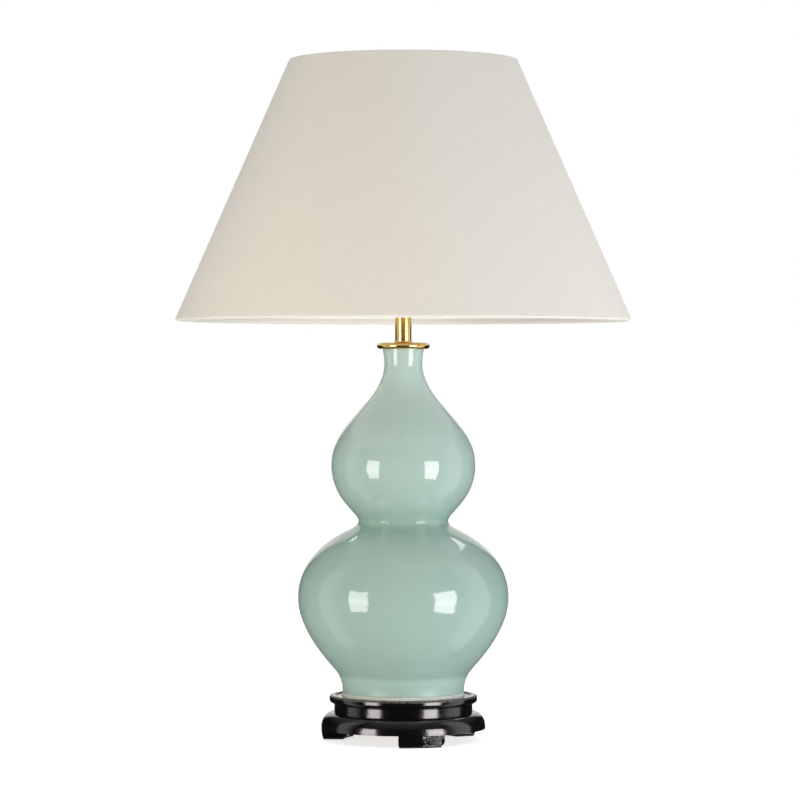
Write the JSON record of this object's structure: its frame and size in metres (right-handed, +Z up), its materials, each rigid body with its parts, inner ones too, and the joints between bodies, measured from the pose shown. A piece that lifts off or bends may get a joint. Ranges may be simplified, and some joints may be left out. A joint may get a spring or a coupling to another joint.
{
  "type": "table lamp",
  "caption": "Table lamp with a double gourd ceramic vase on a black footed stand, a brass cap and stem, and a tapered fabric shade on a wire carrier.",
  "frame": {"origin": "where the lamp's vertical axis meets the surface it stands on, under the centre of the stand", "axes": "+Z up along the axis; -Y is the front, over one foot; +Y is the back, where the cable leaves; +X is to the right seen from the front"},
  "size_m": [0.4554, 0.4554, 0.6794],
  "materials": {
    "felt": "short black felt",
    "lacquer": "gloss black lacquer over carved hardwood",
    "board": "plain hardboard",
    "steel": "zinc plated",
    "black_plastic": "moulded black plastic",
    "glaze": "pale green celadon glaze",
    "raw_wood": "turned, unfinished",
    "brass": "polished",
    "porcelain": "white electrical porcelain",
    "contact_metal": "nickel-free contact brass",
    "bulb_metal": "pressed screw cap",
    "black_glass": "black vitrite",
    "white_plastic": "white moulded housing",
    "opal_plastic": "opal diffuser",
    "gilt_wire": "brass-coloured wire",
    "shade_fabric": "fine off-white cloth",
    "shade_backing": "matt white laminate sheet",
    "white_wire": "white powder coat"
  },
  "bodies": {
    "base": {"base_cover": "board", "base_cover_screws": "steel", "base_nut": "steel", "base_washer": "steel", "cable_bush": "black_plastic", "centre_contact": "contact_metal", "foot_pads": "felt", "holder_cup": "brass", "holder_insert": "porcelain", "holder_shell": "brass", "neck_bung": "raw_wood", "screw_shell": "contact_metal", "stand_apron": "lacquer", "stand_foot_1": "lacquer", "stand_foot_2": "lacquer", "stand_foot_3": "lacquer", "stand_plate": "lacquer", "stand_waist": "lacquer", "stem_tube": "brass", "threaded_tube": "steel", "vase": "glaze", "vase_cap": "brass", "vase_gasket": "felt", "shade_ring_lower": "brass", "shade_ring_upper": "brass"},
    "carrier": {"carrier_base_ring": "gilt_wire", "carrier_leg_1": "gilt_wire", "carrier_leg_2": "gilt_wire", "carrier_leg_3": "gilt_wire", "carrier_top_ring": "gilt_wire"},
    "shade": {"shade_arm_1": "white_wire", "shade_arm_2": "white_wire", "shade_arm_3": "white_wire", "shade_backing": "shade_backing", "shade_bottom_ring": "white_wire", "shade_cover": "shade_fabric", "shade_fitter": "white_wire", "shade_top_ring": "white_wire"},
    "bulb": {"bulb_cap": "bulb_metal", "bulb_contact": "bulb_metal", "bulb_dome": "opal_plastic", "bulb_housing": "white_plastic", "bulb_insulator": "black_glass"},
    "switch_bar": {"switch_bar": "black_plastic"}
  },
  "joints": [
    {"name": "carrier_turn", "type": "hinge", "parent": "base", "child": "carrier", "pos_m": [0, 0, 0.476], "axis": [0, 0, 1], "continuous": true},
    {"name": "shade_lift", "type": "slide", "parent": "carrier", "child": "shade", "axis": [0, 0, 1], "range_m": [0, 0.25]},
    {"name": "bulb_lift", "type": "slide", "parent": "base", "child": "bulb", "axis": [0, 0, 1], "range_m": [0, 0.24]},
    {"name": "switch_push", "type": "slide", "parent": "base", "child": "switch_bar", "axis": [1, 0, 0], "range_m": [0, 0.005]}
  ]
}
